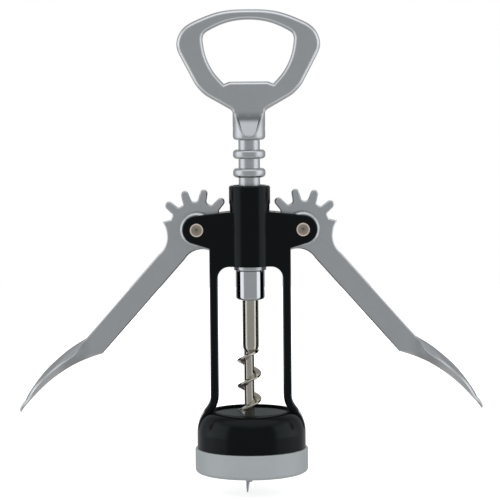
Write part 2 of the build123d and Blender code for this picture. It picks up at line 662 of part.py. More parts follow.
def make_worm():
    """Steel rod and shank on the axis, with the worm's core and fin a little to one side of it."""
    shank_profile = face_of(
        Line((0, WORM_CORE_TOP_Z), (SHANK_NOSE_RADIUS, WORM_CORE_TOP_Z)),
        ThreePointArc(
            (SHANK_NOSE_RADIUS, WORM_CORE_TOP_Z),
            (SHANK_SHOULDER_RADIUS, (WORM_CORE_TOP_Z + SHANK_END_Z) / 2),
            (SHANK_RADIUS, SHANK_END_Z),
        ),
        Polyline(
            (SHANK_RADIUS, SHANK_END_Z),
            (SHANK_RADIUS, SHANK_TOP_Z),
            (ROD_RADIUS, SHANK_TOP_Z),
            (ROD_RADIUS, ROD_TOP_Z),
            (0, ROD_TOP_Z),
            (0, WORM_CORE_TOP_Z),
        ),
    )
    bend_x, bend_z = WORM_POINT_BEND
    point = loft(
        [
            Pos(WORM_OFFSET_X, 0, WORM_POINT_TOP_Z) * Circle(WORM_CORE_RADIUS),
            Pos(bend_x, 0, bend_z) * Circle(WORM_POINT_BEND_RADIUS),
            Pos(WORM_TIP_X, 0, WORM_TIP_Z) * Circle(WORM_TIP_RADIUS),
        ]
    )
    core = upright_cylinder(WORM_CORE_RADIUS, WORM_POINT_TOP_Z, SHANK_END_Z) + make_fin()
    worm = Pos(WORM_OFFSET_X, 0, 0) * core
    worm += revolve(Plane.XZ * shank_profile, Axis.Z)
    worm += point
    for pin_z in (FERRULE_PIN_Z, HANDLE_PIN_Z):
        worm -= sideways_cylinder(CROSS_PIN_RADIUS + PRESS_GAP, 2 * SHANK_RADIUS, pin_z)
    return worm


def make_cross_pin(outer_radius, z):
    """Plain pin across the axis, its ends just below the surface it is driven into."""
    return sideways_cylinder(CROSS_PIN_RADIUS, outer_radius - CROSS_PIN_INSET, z)


right_lever = make_right_lever()
nodes = {
    "frame_casting": make_frame_casting(),
    "base_ring": make_base_ring(),
    "left_pivot_pin": make_pivot_pin(-PIN_X),
    "right_pivot_pin": make_pivot_pin(PIN_X),
    "left_lever": mirror(right_lever, about=Plane.YZ),
    "right_lever": right_lever,
    "rack_sleeve": make_rack_sleeve(),
    "opener_handle": make_opener_handle(),
    "handle_cross_pin": make_cross_pin(NECK_RADIUS, HANDLE_PIN_Z),
    "worm_ferrule": make_ferrule(),
    "ferrule_cross_pin": make_cross_pin(FERRULE_RADIUS, FERRULE_PIN_Z),
    "worm": make_worm(),
}

os.makedirs("parts", exist_ok=True)
for name, solid in nodes.items():
    export_step(solid, f"parts/{name}.step")
print(f"pitch radius {PITCH_RADIUS:.4f} mm")
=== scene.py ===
"""Lever corkscrew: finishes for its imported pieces, modelled rivets, and a white studio stage."""

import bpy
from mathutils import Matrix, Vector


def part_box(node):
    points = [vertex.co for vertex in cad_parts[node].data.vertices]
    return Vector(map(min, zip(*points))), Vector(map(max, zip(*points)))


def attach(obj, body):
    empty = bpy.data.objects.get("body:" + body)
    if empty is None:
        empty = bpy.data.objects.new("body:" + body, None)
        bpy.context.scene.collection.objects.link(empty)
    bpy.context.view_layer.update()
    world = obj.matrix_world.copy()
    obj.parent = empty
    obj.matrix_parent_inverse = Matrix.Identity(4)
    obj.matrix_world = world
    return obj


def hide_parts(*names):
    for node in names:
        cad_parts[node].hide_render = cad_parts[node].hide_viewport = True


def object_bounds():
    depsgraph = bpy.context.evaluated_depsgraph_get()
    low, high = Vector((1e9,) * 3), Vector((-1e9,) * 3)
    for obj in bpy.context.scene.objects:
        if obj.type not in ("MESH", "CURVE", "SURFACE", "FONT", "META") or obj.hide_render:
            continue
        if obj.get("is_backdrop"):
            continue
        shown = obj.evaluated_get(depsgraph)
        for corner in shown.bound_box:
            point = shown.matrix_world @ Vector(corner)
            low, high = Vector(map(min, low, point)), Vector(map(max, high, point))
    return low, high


bl_info = {
    "name": "Lever corkscrew",
    "version": (1, 0, 0),
    "blender": (4, 5, 0),
    "location": "3D View > Sidebar > Corkscrew",
    "description": "Finishes the pieces of a lever corkscrew and sets them on a white stage",
    "category": "Object",
}

import math

import bmesh
import bpy
from mathutils import Matrix, Vector

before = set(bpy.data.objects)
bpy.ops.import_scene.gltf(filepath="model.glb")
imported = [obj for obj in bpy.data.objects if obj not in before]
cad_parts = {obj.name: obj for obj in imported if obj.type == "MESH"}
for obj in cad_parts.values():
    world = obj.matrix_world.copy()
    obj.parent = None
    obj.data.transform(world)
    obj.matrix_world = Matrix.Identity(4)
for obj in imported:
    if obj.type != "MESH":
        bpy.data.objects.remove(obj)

MILLIMETRE = 0.001
WHITE = (1.0, 1.0, 1.0, 1.0)
BLACK = (0.0, 0.0, 0.0, 1.0)
CAD_LOW, CAD_HIGH = (Vector(corner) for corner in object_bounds())
CAD_MIDDLE = (CAD_LOW + CAD_HIGH) / 2
PIN_LOW, PIN_HIGH = (Vector(corner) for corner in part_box("right_pivot_pin"))
PIN_MIDDLE = (PIN_LOW + PIN_HIGH) / 2

SATIN_NODES = ("left_lever", "right_lever", "rack_sleeve", "opener_handle")
PIVOT_NODES = ("left_pivot_pin", "right_pivot_pin")
CROSS_PIN_NODES = ("handle_cross_pin", "ferrule_cross_pin")


def mm(*sizes):
    """Sizes given in millimetres, as a tuple in metres."""
    return tuple(size * MILLIMETRE for size in sizes)


# Soft steps that bound the marks of the finishes, each from its start to its end.
# X is measured outwards from the tool's axis, Z is height, and a radius is from the axis of the piece.
WING_START_X = mm(58, 63)
CREASE_END_X = mm(67, 73)
WING_TIP_X = (76 * MILLIMETRE, CAD_HIGH.x)
HANDLE_START_Z = mm(131.1, 139.1)
DIP_START_Z = mm(129.3, 130.7)
DIP_END_Z = mm(131.1, 134.3)
DIP_SIDE_X = mm(3.6, 4.6)
SCOOP_START_Z = mm(124.6, 125.6)
SCOOP_END_Z = mm(131.1, 133.1)
NECK_SKIN_RADIUS = mm(5.6, 5.9)
LEG_START_Z = mm(32, 38)
LEG_END_Z = mm(70, 76)
LEG_SIDE_X = mm(11, 12)
BELL_RIM_START_Z = mm(22.6, 22.85)
BELL_RIM_END_Z = mm(24, 27.4)
SLEEVE_START_Z = mm(8.8, 9.4)
WORM_POINT_END_Z = mm(-1, 4)
DIMPLE_SHADE_END_RADIUS = mm(0.3, 1.1)
RIM_HIGHLIGHT_START_RADIUS = mm(1.8, 2.1)
RIM_HIGHLIGHT_END_RADIUS = mm(3, 4)

# Soft steps in how squarely a surface faces the front or the back, from 0 to 1.
HANDLE_ROUND_START = (0.78, 0.93)
HANDLE_ROUND_END = (0.955, 0.992)
SCOOP_WALL_END = (0.7, 0.86)
LEG_ROUND_START = (0.1, 0.4)
LEG_ROUND_END = (0.6, 0.97)

# The soft step in how far a rounded normal leaves the flat one, where an edge begins.
EDGE_START = (0.01, 0.16)
EDGE_SAMPLES = 6

# How light each mark of a finish is, as a multiple of the colour it is made from. The crease, hollow,
# sleeve and dimple levels are painted shade, and the round, ridge, leg round, edge and rim levels are
# painted highlights.
CREASE_SHADE_LEVEL = 0.8
HOLLOW_SHADE_LEVEL = 0.55
ROUND_HIGHLIGHT_LEVEL = 1.6
RIDGE_HIGHLIGHT_LEVEL = 1.75
LEG_ROUND_HIGHLIGHT_LEVEL = 0.12
RING_EDGE_HIGHLIGHT_LEVEL = 1.15
SLEEVE_SHADE_LEVEL = 0.55
WORM_EDGE_HIGHLIGHT_LEVEL = 1.35
WORM_POINT_LEVEL = 0.65
RIM_HIGHLIGHT_LEVEL = 2.4
DIMPLE_SHADE_LEVEL = 0.3

# How strongly a mark shows, from 0 to 1.
CLOUD_SHARE = 0.65
ARM_RIDGE_HIGHLIGHT_SHARE = 0.4
TIP_RIDGE_HIGHLIGHT_LOSS = 0.55
EDGE_HIGHLIGHT_SHARE = 0.6
DIMPLE_SHADE_SHARE = 0.9

# Outlines of a rivet's head, as shares of the dimple's radius and depth and of the rim's bevel.
DIMPLE_OUTLINE = ((0.0, 1.0), (0.5, 0.8), (0.85, 0.3), (1.1, 0.0))
RIM_OUTLINE = ((1.0, 0.0), (0.3, 0.3), (0.0, 1.0))
TURNING_STEPS = 72
MERGE_DISTANCE = 1e-7
SHARP_ANGLE = math.radians(28)

# Soft steps of the studio that polished pieces mirror.
# Forward runs from -1 straight behind the object to 1 on the camera's side, and up from -1 to 1.
BACK_WALL_END_FORWARD = (-0.2, 0.2)
BACKDROP_END_FORWARD = (-0.99, -0.96)
PANELS_START_FORWARD = (-0.60, 0.00)
PANELS_END_FORWARD = (0.50, 0.68)
PANELS_TOP_UP = (0.45, 0.75)
PANELS_GAP_START_UP = (-0.27, -0.22)
PANELS_GAP_END_UP = (-0.19, -0.12)
GROUND_END_UP = (-0.65, -0.5)
CEILING_START_UP = (0.55, 0.8)
CEILING_START_FORWARD = (-0.3, 0.3)
PANELS_ON_MATT = 0.6
TINY = 1e-6

# The floor glows less to the camera near the object, where its shadow falls.
FLOOR_GLOW_NEAR = 0.72
FLOOR_GLOW_STEP = (0.15, 0.5)

SENSOR_WIDTH_MM = 36
CAMERA_CLIP_START = 0.01


class Value:
    """A shader socket that takes part in Python arithmetic by adding Math nodes."""

    def __init__(self, graph, socket):
        self.graph = graph
        self.socket = socket

    def math_node(self, operation, *operands):
        """Add a Math node of an operation that takes these operands."""
        return self.graph.add("ShaderNodeMath", {"operation": operation}, dict(enumerate(operands)))

    def __add__(self, other):
        return self.math_node("ADD", self, other)

    def __radd__(self, other):
        return self.math_node("ADD", other, self)

    def __sub__(self, other):
        return self.math_node("SUBTRACT", self, other)

    def __rsub__(self, other):
        return self.math_node("SUBTRACT", other, self)

    def __mul__(self, other):
        return self.math_node("MULTIPLY", self, other)

    def __rmul__(self, other):
        return self.math_node("MULTIPLY", other, self)

    def __truediv__(self, other):
        return self.math_node("DIVIDE", self, other)

    def __rtruediv__(self, other):
        return self.math_node("DIVIDE", other, self)

    def __pow__(self, other):
        return self.math_node("POWER", self, other)

    def __rpow__(self, other):
        return self.math_node("POWER", other, self)

    def __abs__(self):
        return self.math_node("ABSOLUTE", self)

    def after(self, step):
        """0 before a soft step and 1 after it."""
        low, high = step
        sockets = {"Value": self, "From Min": low, "From Max": high}
        return self.graph.add("ShaderNodeMapRange", {"interpolation_type": "SMOOTHSTEP"}, sockets)

    def before(self, step):
        """1 before a soft step and 0 after it."""
        return 1.0 - self.after(step)

    def within(self, start, end):
        """1 between two soft steps and 0 outside them."""
        return self.after(start) * self.before(end)

    def waves(self, pitch):
        """Even waves between 0 and 1, one to each pitch."""
        angle = self * (2 * math.pi / pitch)
        return angle.math_node("SINE", angle) * 0.5 + 0.5


class Graph:
    """Adds and links the nodes of one node tree."""

    def __init__(self, tree):
        self.tree = tree
        tree.nodes.clear()

    def add(self, kind, settings=None, sockets=None, output=0):
        """Add a node of a kind: its settings first, then the values or links of its sockets."""
        node = self.tree.nodes.new(kind)
        for name, value in (settings or {}).items():
            setattr(node, name, value)
        for name, value in (sockets or {}).items():
            if isinstance(value, Value):
                self.tree.links.new(value.socket, node.inputs[name])
            else:
                node.inputs[name].default_value = value
        return Value(self, node.outputs[output]) if node.outputs else None

    def place(self):
        """Places in the object's own frame, so that a pattern stays on a moving piece."""
        return self.add("ShaderNodeTexCoord", output="Object")

    def parts(self, vector):
        """The three numbers of a vector."""
        node = self.add("ShaderNodeSeparateXYZ", None, {"Vector": vector}).socket.node
        return [Value(self, output) for output in node.outputs]

    def facing(self):
        """How squarely a surface faces the front or the back: 1 on those faces and 0 on the sides."""
        normal = self.add("ShaderNodeTexCoord", output="Normal")
        return abs(self.parts(normal)[1])

    def stretched(self, vector, scale):
        """A vector with each of its numbers multiplied."""
        return self.add("ShaderNodeVectorMath", {"operation": "MULTIPLY"}, {0: vector, 1: scale})

    def noise(self, vector, size, detail=2.0):
        """Soft noise from 0 to 1 whose features are about size metres across."""
        sockets = {"Vector": vector, "Scale": 1 / size, "Detail": detail}
        return self.add("ShaderNodeTexNoise", None, sockets)

    def blend(self, factor, low, high):
        """A colour between two colours."""
        return self.add("ShaderNodeMix", {"data_type": "RGBA"}, {0: factor, 6: low, 7: high}, output=2)

    def toned(self, colour, factor, levels, layers=()):
        """A colour between two levels of lightness, under layers of a mask and the level it brings."""
        low, high = levels
        body = self.blend(factor, shade(colour, low), shade(colour, high))
        for mask, level in layers:
            body = self.blend(mask, body, shade(colour, level))
        return body

    def bump(self, height, depth, strength=1.0):
        """A normal that follows a height from 0 to 1 over a depth in metres."""
        sockets = {"Height": height, "Distance": depth, "Strength": strength}
        return self.add("ShaderNodeBump", None, sockets)

    def edges(self, radius):
        """1 along the edges of a piece and 0 on its faces."""
        rounded = self.add("ShaderNodeBevel", {"samples": EDGE_SAMPLES}, {"Radius": radius})
        flat = self.add("ShaderNodeNewGeometry", output="Normal")
        dot = {"operation": "DOT_PRODUCT"}
        likeness = self.add("ShaderNodeVectorMath", dot, {0: rounded, 1: flat}, output=1)
        return (1.0 - likeness).after(EDGE_START)

    def surface(self, sockets):
        """The surface of a material, from the sockets of one Principled shader."""
        shader = self.add("ShaderNodeBsdfPrincipled", None, sockets)
        self.add("ShaderNodeOutputMaterial", None, {"Surface": shader})


def shade(colour, factor=1.0):
    """A colour made lighter or darker, and opaque."""
    return (*(channel * factor for channel in colour[:3]), 1.0)


def distance(across, up):
    """How far a point is from the axis that two of its numbers are measured from."""
    return (across * across + up * up) ** 0.5


def new_material(name):
    """An empty material and the graph of its nodes."""
    material = bpy.data.materials.new(name)
    material.use_nodes = True
    return material, Graph(material.node_tree)


def dress(node, material):
    """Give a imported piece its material."""
    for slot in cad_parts[node].material_slots:
        slot.material = material


def satin_material(settings):
    """Satin plating: fine grain, soft clouds of tone, painted highlights on edges and rounds, painted
    shade in the crease and hollows, and a rougher crease.
    """
    material, graph = new_material("satin_chrome_finish")
    place = graph.place()
    clouds = graph.noise(place, 16 * MILLIMETRE, detail=3.0)
    smudges = graph.noise(place, 4 * MILLIMETRE, detail=4.0)
    grain = graph.noise(place, 0.16 * MILLIMETRE)
    edges = graph.edges(0.5 * MILLIMETRE)
    facing = graph.facing()
    x, y, height = graph.parts(place)
    outward = abs(x)
    wing = outward.after(WING_START_X)
    # Painted shade: the crease at the start of each wing is darker in colour, and it is also rougher.
    rough_shaded_crease = wing * outward.before(CREASE_END_X)
    # Painted shade: the dip above the neck's scoop and the scoop's walls are darker in colour, where
    # shade falls.
    dip_shade = height.within(DIP_START_Z, DIP_END_Z) * outward.before(DIP_SIDE_X)
    inside = distance(x, y).before(NECK_SKIN_RADIUS)
    scoop_wall_shade = inside * facing.before(SCOOP_WALL_END) * height.within(SCOOP_START_Z, SCOOP_END_Z)
    # Painted highlight: the handle's rounds that face partly sideways are lighter in colour.
    round_highlight = height.after(HANDLE_START_Z) * facing.within(HANDLE_ROUND_START, HANDLE_ROUND_END)
    # Painted highlight along the edges: full on the wings, weaker on the arms and near the tips, and
    # none in the dip.
    ridge_highlight_share = ARM_RIDGE_HIGHLIGHT_SHARE + (1.0 - ARM_RIDGE_HIGHLIGHT_SHARE) * wing
    ridge_highlight = edges * (ridge_highlight_share - TIP_RIDGE_HIGHLIGHT_LOSS * outward.after(WING_TIP_X)) * (1.0 - dip_shade)
    layers = (
        (rough_shaded_crease, CREASE_SHADE_LEVEL),
        (dip_shade, HOLLOW_SHADE_LEVEL),
        (scoop_wall_shade, HOLLOW_SHADE_LEVEL),
        (round_highlight, ROUND_HIGHLIGHT_LEVEL),
        (ridge_highlight, RIDGE_HIGHLIGHT_LEVEL),
    )
    tone = CLOUD_SHARE * clouds + (1.0 - CLOUD_SHARE) * smudges
    rough = settings.satin_roughness + 0.08 * (smudges - 0.5) + 0.06 * (grain - 0.5)
    graph.surface({
        "Base Color": graph.toned(settings.satin, tone, levels=(0.94, 1.06), layers=layers),
        "Metallic": 1.0,
        "Roughness": rough - 0.08 * edges + 0.3 * rough_shaded_crease,
        "Normal": graph.bump(grain, 0.004 * MILLIMETRE, strength=0.5),
    })
    return material


def enamel_material(settings):
    """Black enamel over a casting: deep gloss, a faint swell, painted highlights on the leg rounds and
    a dull bell rim.
    """
    material, graph = new_material("black_enamel_finish")
    place = graph.place()
    clouds = graph.noise(place, 9 * MILLIMETRE, detail=3.0)
    swell = graph.noise(place, 1.6 * MILLIMETRE, detail=1.0)
    x, _, height = graph.parts(place)
    legs = height.within(LEG_START_Z, LEG_END_Z) * abs(x).after(LEG_SIDE_X)
    # Painted highlight: the rounds of the legs are lighter in colour.
    leg_round_highlight = legs * graph.facing().within(LEG_ROUND_START, LEG_ROUND_END)
    rim = height.within(BELL_RIM_START_Z, BELL_RIM_END_Z)
    body = graph.toned(settings.enamel, clouds, levels=(0.8, 1.25))
    graph.surface({
        "Base Color": graph.blend(leg_round_highlight, body, shade(settings.satin, LEG_ROUND_HIGHLIGHT_LEVEL)),
        "Roughness": settings.enamel_roughness + 0.06 * clouds + 0.45 * rim,
        "Specular IOR Level": settings.enamel_gloss,
        "Specular Tint": shade(settings.enamel_tint),
        "Normal": graph.bump(swell, 0.012 * MILLIMETRE, strength=0.5),
    })
    return material


def plastic_material(settings):
    """Pale moulded ring: smooth, with a faint flow of tone, painted highlights on its edges and painted
    shade on its sleeve.
    """
    material, graph = new_material("pale_plastic_finish")
    place = graph.place()
    flow = graph.noise(graph.stretched(place, (1.0, 1.0, 3.0)), 12 * MILLIMETRE)
    grain = graph.noise(place, 0.3 * MILLIMETRE)
    edges = graph.edges(0.6 * MILLIMETRE)
    # Painted shade: the sleeve that lines the bell is darker in colour, where shade falls inside the
    # bell.
    sleeve_shade = graph.parts(place)[2].after(SLEEVE_START_Z)
    # Painted highlight on the ring's edges, and painted shade on the sleeve.
    layers = ((edges * EDGE_HIGHLIGHT_SHARE, RING_EDGE_HIGHLIGHT_LEVEL), (sleeve_shade, SLEEVE_SHADE_LEVEL))
    graph.surface({
        "Base Color": graph.toned(settings.plastic, flow, levels=(0.96, 1.04), layers=layers),
        "Roughness": settings.plastic_roughness + 0.08 * (flow - 0.5),
        "Normal": graph.bump(grain, 0.003 * MILLIMETRE, strength=0.4),
    })
    return material


def worm_material(settings):
    """Nickel plated worm: lines drawn along its axis, painted highlights on its edges and a grey ground
    point.
    """
    material, graph = new_material("nickel_steel_finish")
    place = graph.place()
    lines = graph.noise(graph.stretched(place, (1.0, 1.0, 0.04)), 0.3 * MILLIMETRE)
    clouds = graph.noise(place, 6 * MILLIMETRE, detail=3.0)
    edges = graph.edges(0.35 * MILLIMETRE)
    point = graph.parts(place)[2].before(WORM_POINT_END_Z)
    # Painted highlight on the worm's edges.
    layers = ((edges * EDGE_HIGHLIGHT_SHARE, WORM_EDGE_HIGHLIGHT_LEVEL),)
    body = graph.toned(settings.worm, clouds, levels=(0.9, 1.08), layers=layers)
    graph.surface({
        "Base Color": graph.blend(point, body, shade(settings.satin, WORM_POINT_LEVEL)),
        "Metallic": 1.0,
        "Roughness": settings.worm_roughness + 0.1 * (lines - 0.5) + 0.05 * clouds,
        "Normal": graph.bump(lines, 0.0015 * MILLIMETRE, strength=0.3),
    })
    return material


def ferrule_material(settings):
    """Bright turned ferrule: fine rings left by the tool round its axis."""
    material, graph = new_material("bright_chrome_finish")
    place = graph.place()
    rings = graph.parts(place)[2].waves(0.35 * MILLIMETRE)
    clouds = graph.noise(place, 5 * MILLIMETRE)
    graph.surface({
        "Base Color": graph.toned(settings.bright, clouds, levels=(0.96, 1.04)),
        "Metallic": 1.0,
        "Roughness": settings.bright_roughness + 0.02 * rings + 0.02 * clouds,
        "Normal": graph.bump(rings, 0.0005 * MILLIMETRE, strength=0.3),
    })
    return material


def rivet_material(settings):
    """Plain steel rivet: turning marks round its axis, a painted highlight on its smoother rim and
    painted shade in its dimple.
    """
    material, graph = new_material("rivet_steel_finish")
    place = graph.place()
    x, _, height = graph.parts(place)
    radius = distance(abs(x) - PIN_MIDDLE.x, height - PIN_MIDDLE.z)
    rings = radius.waves(0.22 * MILLIMETRE)
    clouds = graph.noise(place, 1.5 * MILLIMETRE, detail=3.0)
    # Painted shade: the dimple in the middle of the head is darker in colour.
    dimple_shade = radius.before(DIMPLE_SHADE_END_RADIUS)
    # Painted highlight: the rim of the head is much lighter in colour. The rim is also smoother.
    rim_highlight = radius.within(RIM_HIGHLIGHT_START_RADIUS, RIM_HIGHLIGHT_END_RADIUS)
    layers = ((rim_highlight, RIM_HIGHLIGHT_LEVEL), (dimple_shade * DIMPLE_SHADE_SHARE, DIMPLE_SHADE_LEVEL))
    rough = settings.rivet_roughness + 0.1 * (clouds - 0.5) + 0.05 * rings
    graph.surface({
        "Base Color": graph.toned(settings.rivet, clouds, levels=(0.8, 1.2), layers=layers),
        "Metallic": 1.0,
        "Roughness": rough - 0.15 * rim_highlight,
        "Normal": graph.bump(rings, 0.004 * MILLIMETRE, strength=0.4),
    })
    return material


def rivet_profile(sizes):
    """The outline of a rivet with two like heads: (radius, height along Y) points from end to end."""
    top = PIN_HIGH.y
    ear = top - sizes.head_height
    head = (PIN_HIGH.x - PIN_LOW.x) / 2
    dimple = [
        (sizes.dimple_radius * out, top - sizes.dimple_depth * down)
        for out, down in DIMPLE_OUTLINE
    ]
    rim = [(head - sizes.rim * inward, top - sizes.rim * down) for inward, down in RIM_OUTLINE]
    upper = [*dimple, *rim, (head, ear), (sizes.shaft_radius, ear)]
    lower = [(radius, -height) for radius, height in reversed(upper)]
    return upper + lower


def turned_object(name, profile, axis_place):
    """A turned piece: a profile of (radius, height along Y) points turned about a line along Y."""
    mesh = bpy.data.meshes.new(name)
    shape = bmesh.new()
    verts = [shape.verts.new((radius, height, 0.0)) for radius, height in profile]
    edges = [shape.edges.new(pair) for pair in zip(verts, verts[1:])]
    bmesh.ops.spin(
        shape, geom=verts + edges, cent=(0, 0, 0), axis=(0, 1, 0),
        angle=2 * math.pi, steps=TURNING_STEPS,
    )
    bmesh.ops.remove_doubles(shape, verts=shape.verts, dist=MERGE_DISTANCE)
    bmesh.ops.recalc_face_normals(shape, faces=shape.faces)
    for face in shape.faces:
        face.smooth = True
    for edge in shape.edges:
        edge.smooth = edge.calc_face_angle(math.pi) < SHARP_ANGLE
    shape.transform(Matrix.Translation(axis_place))
    shape.to_mesh(mesh)
    shape.free()
    piece = bpy.data.objects.new(name, mesh)
    bpy.context.scene.collection.objects.link(piece)
    return piece


class CorkscrewFinish(bpy.types.PropertyGroup):
    """Colours and polish of the pieces."""

    satin: bpy.props.FloatVectorProperty(
        name="Satin plating", description="Colour of the levers, the rack and the handle",
        default=(0.49, 0.50, 0.51), subtype="COLOR", size=3, min=0, max=1,
    )
    satin_roughness: bpy.props.FloatProperty(
        name="Satin roughness", description="How blurred the satin plating's reflections are",
        default=0.32, subtype="FACTOR", min=0, max=1,
    )
    enamel: bpy.props.FloatVectorProperty(
        name="Enamel", description="Colour of the frame's enamel",
        default=(0.0004, 0.0007, 0.0010), subtype="COLOR", size=3, min=0, max=1,
    )
    enamel_roughness: bpy.props.FloatProperty(
        name="Enamel roughness", description="How blurred the enamel's reflections are",
        default=0.14, subtype="FACTOR", min=0, max=1,
    )
    enamel_gloss: bpy.props.FloatProperty(
        name="Enamel gloss", description="How strong the enamel's reflections are",
        default=0.165, subtype="FACTOR", min=0, max=1,
    )
    enamel_tint: bpy.props.FloatVectorProperty(
        name="Enamel tint", description="Colour of the enamel's reflections",
        default=(0.86, 0.96, 1.0), subtype="COLOR", size=3, min=0, max=1,
    )
    plastic: bpy.props.FloatVectorProperty(
        name="Plastic", description="Colour of the base ring",
        default=(0.37, 0.40, 0.405), subtype="COLOR", size=3, min=0, max=1,
    )
    plastic_roughness: bpy.props.FloatProperty(
        name="Plastic roughness", description="How blurred the base ring's reflections are",
        default=0.36, subtype="FACTOR", min=0, max=1,
    )
    worm: bpy.props.FloatVectorProperty(
        name="Worm plating", description="Colour of the worm and its shank",
        default=(0.465, 0.44, 0.385), subtype="COLOR", size=3, min=0, max=1,
    )
    worm_roughness: bpy.props.FloatProperty(
        name="Worm roughness", description="How blurred the worm's reflections are",
        default=0.13, subtype="FACTOR", min=0, max=1,
    )
    bright: bpy.props.FloatVectorProperty(
        name="Bright plating", description="Colour of the ferrule",
        default=(0.51, 0.525, 0.54), subtype="COLOR", size=3, min=0, max=1,
    )
    bright_roughness: bpy.props.FloatProperty(
        name="Bright roughness", description="How blurred the ferrule's reflections are",
        default=0.04, subtype="FACTOR", min=0, max=1,
    )
    rivet: bpy.props.FloatVectorProperty(
        name="Rivet steel", description="Colour of the rivets and pins",
        default=(0.38, 0.325, 0.27), subtype="COLOR", size=3, min=0, max=1,
    )
    rivet_roughness: bpy.props.FloatProperty(
        name="Rivet roughness", description="How blurred the rivets' reflections are",
        default=0.3, subtype="FACTOR", min=0, max=1,
    )


class CorkscrewRivet(bpy.types.PropertyGroup):
    """Sizes of the rivets' heads."""

    rim: bpy.props.FloatProperty(
        name="Rim bevel", description="Bevel round a rivet's head, smaller than the head's height",
        default=0.55 * MILLIMETRE, unit="LENGTH", min=0,
    )
    dimple_radius: bpy.props.FloatProperty(
        name="Dimple radius", description="Radius of the dimple in the middle of a rivet's head",
        default=0.55 * MILLIMETRE, unit="LENGTH", min=0,
    )
    dimple_depth: bpy.props.FloatProperty(
        name="Dimple depth", description="Depth of the dimple in the middle of a rivet's head",
        default=0.3 * MILLIMETRE, unit="LENGTH", min=0,
    )
    shaft_radius: bpy.props.FloatProperty(
        name="Shaft radius", description="Radius of the rivet between its heads",
        default=2.3 * MILLIMETRE, unit="LENGTH", min=0,
    )
    head_height: bpy.props.FloatProperty(
        name="Head height", description="Height of a rivet's head over the ear",
        default=0.6 * MILLIMETRE, unit="LENGTH", min=0,
    )


class CorkscrewStage(bpy.types.PropertyGroup):
    """Sizes and levels of the stage, its light and its camera."""

    floor_width: bpy.props.FloatProperty(
        name="Floor width", description="Width of the square floor",
        default=1.6, unit="LENGTH", min=1,
    )
    floor_colour: bpy.props.FloatVectorProperty(
        name="Floor colour", description="Colour of the plain pale floor",
        default=(0.82, 0.82, 0.82), subtype="COLOR", size=3, min=0, max=1,
    )
    ambient: bpy.props.FloatVectorProperty(
        name="Ambient light", description="Even light from all round on matt surfaces",
        default=(0.68, 0.68, 0.69), subtype="COLOR", size=3, min=0, soft_max=2,
    )
    front_wall: bpy.props.FloatVectorProperty(
        name="Front wall", description="What polished pieces mirror from the camera's side",
        default=(0.50, 0.515, 0.525), subtype="COLOR", size=3, min=0, soft_max=2,
    )
    back_wall: bpy.props.FloatVectorProperty(
        name="Back wall", description="What polished pieces mirror from behind the object",
        default=(0.45, 0.46, 0.47), subtype="COLOR", size=3, min=0, soft_max=2,
    )
    side_panels: bpy.props.FloatVectorProperty(
        name="Side panels", description="Bright panels left and right of the object",
        default=(1.50, 1.53, 1.57), subtype="COLOR", size=3, min=0, soft_max=2,
    )
    ceiling: bpy.props.FloatVectorProperty(
        name="Ceiling", description="The soft panel overhead",
        default=(1.25, 1.27, 1.30), subtype="COLOR", size=3, min=0, soft_max=2,
    )
    ground: bpy.props.FloatVectorProperty(
        name="Ground", description="What polished pieces mirror from below",
        default=(0.62, 0.62, 0.62), subtype="COLOR", size=3, min=0, soft_max=2,
    )
    lamp_power: bpy.props.FloatProperty(
        name="Lamp power", description="Power of the soft lamp over the object",
        default=3.5, unit="POWER", min=0,
    )
    lamp_size: bpy.props.FloatProperty(
        name="Lamp size", description="Width of the soft lamp",
        default=0.7, unit="LENGTH", min=0.01,
    )
    lamp_offset: bpy.props.FloatVectorProperty(
        name="Lamp offset", description="Where the soft lamp stands, from the middle of the object",
        default=(0.0, -0.7, 0.75), subtype="TRANSLATION", unit="LENGTH", size=3,
    )
    camera_place: bpy.props.FloatVectorProperty(
        name="Camera place", description="Where the camera stands",
        default=(0.0, -0.8, 0.1456), subtype="TRANSLATION", unit="LENGTH", size=3,
    )
    camera_aim: bpy.props.FloatVectorProperty(
        name="Camera aim", description="The point in the middle of the picture",
        default=(0.0, 0.0, 0.0826), subtype="TRANSLATION", unit="LENGTH", size=3,
    )
    camera_lens: bpy.props.FloatProperty(
        name="Lens", description="Focal length in millimetres on a sensor 36 mm wide",
        default=156.2, min=10,
    )
    camera_roll: bpy.props.FloatProperty(
        name="Roll", description="Turn of the camera about its line of sight",
        default=math.radians(-0.5), subtype="ANGLE",
    )


class CORKSCREW_OT_satin(bpy.types.Operator):
    """Finish the levers, the rack and the handle in satin plating"""

    bl_idname = "corkscrew.satin"
    bl_label = "Finish the satin pieces"

    def execute(self, context):
        material = satin_material(context.scene.corkscrew_finish)
        for node in SATIN_NODES:
            dress(node, material)
        return {"FINISHED"}


class CORKSCREW_OT_frame(bpy.types.Operator):
    """Finish the frame in black enamel"""

    bl_idname = "corkscrew.frame"
    bl_label = "Finish the frame"

    def execute(self, context):
        dress("frame_casting", enamel_material(context.scene.corkscrew_finish))
        return {"FINISHED"}


class CORKSCREW_OT_base(bpy.types.Operator):
    """Finish the base ring in pale plastic"""

    bl_idname = "corkscrew.base"
    bl_label = "Finish the base ring"

    def execute(self, context):
        dress("base_ring", plastic_material(context.scene.corkscrew_finish))
        return {"FINISHED"}


class CORKSCREW_OT_worm(bpy.types.Operator):
    """Finish the worm in nickel and its ferrule in bright plating"""

    bl_idname = "corkscrew.worm"
    bl_label = "Finish the worm and ferrule"

    def execute(self, context):
        settings = context.scene.corkscrew_finish
        dress("worm", worm_material(settings))
        dress("worm_ferrule", ferrule_material(settings))
        return {"FINISHED"}


